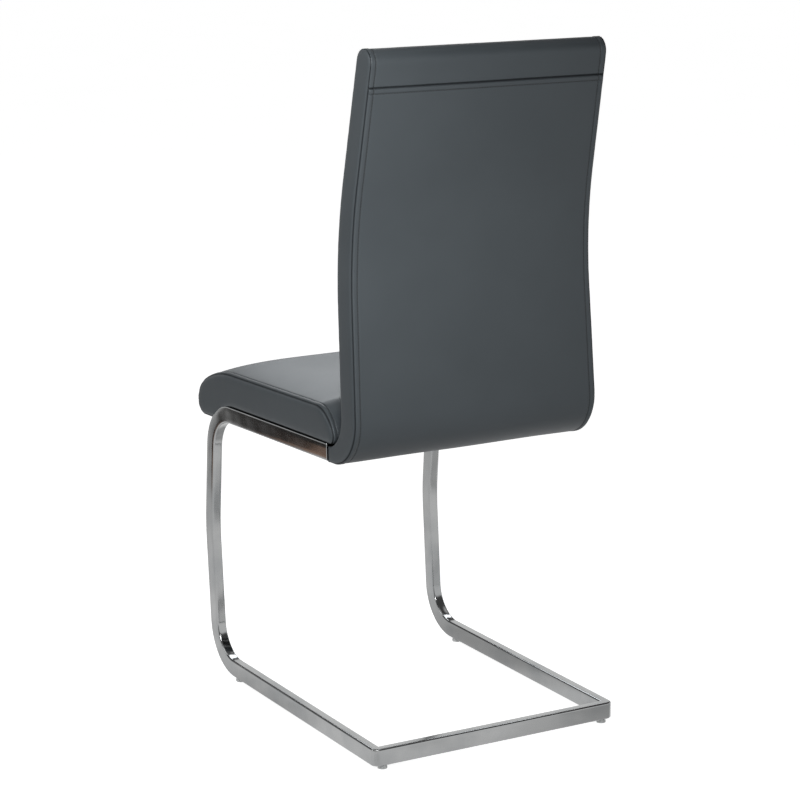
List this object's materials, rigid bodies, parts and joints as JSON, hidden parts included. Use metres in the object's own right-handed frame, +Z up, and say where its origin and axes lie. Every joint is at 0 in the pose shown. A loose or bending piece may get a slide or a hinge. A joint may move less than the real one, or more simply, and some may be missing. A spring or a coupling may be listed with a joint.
{
  "type": "chair",
  "caption": "Cantilever dining chair: bowed chromed rectangular-tube frame with a mitred floor bar, crowned seat, S-curved back that turns under the seat, grey imitation leather.",
  "frame": {"origin": "on the floor under the centre of the chair's bounding box", "axes": "+Z up, -Y to the front of the seat, +X to the sitter's left"},
  "size_m": [0.401, 0.553, 0.991],
  "materials": {
    "chrome": "polished chrome plate on rectangular steel tube",
    "leather": "smooth grey imitation leather, faint grain, low sheen",
    "foam": "open-cell upholstery foam, hidden",
    "plywood": "raw plywood, hidden above the dust cover",
    "inner_steel": "black powder-coated steel, hidden in the back",
    "zinc_steel": "bright zinc-plated fasteners",
    "glide_plastic": "milky translucent polyethylene",
    "dust_cloth": "black spunbond dust cloth"
  },
  "bodies": {
    "root": {"left_side_tube": "chrome", "right_side_tube": "chrome", "rear_floor_bar": "chrome", "front_seat_crossbar": "chrome", "rear_seat_crossbar": "chrome", "seat_top_cover": "leather", "seat_left_side_cover": "leather", "seat_right_side_cover": "leather", "back_front_cover": "leather", "back_rear_cover": "leather", "back_left_side_cover": "leather", "back_right_side_cover": "leather", "seat_foam": "foam", "back_front_foam": "foam", "back_rear_foam": "foam", "seat_board": "plywood", "back_panel": "plywood", "left_back_post": "inner_steel", "right_back_post": "inner_steel", "bottom_back_rail": "inner_steel", "middle_back_rail": "inner_steel", "top_back_rail": "inner_steel", "seat_bolts": "zinc_steel", "seat_washers": "zinc_steel", "seat_tee_nuts": "zinc_steel", "back_panel_screws": "zinc_steel", "back_set_screws": "zinc_steel", "front_glides": "glide_plastic", "rear_glides": "glide_plastic", "seat_dust_cover": "dust_cloth"}
  },
  "joints": []
}
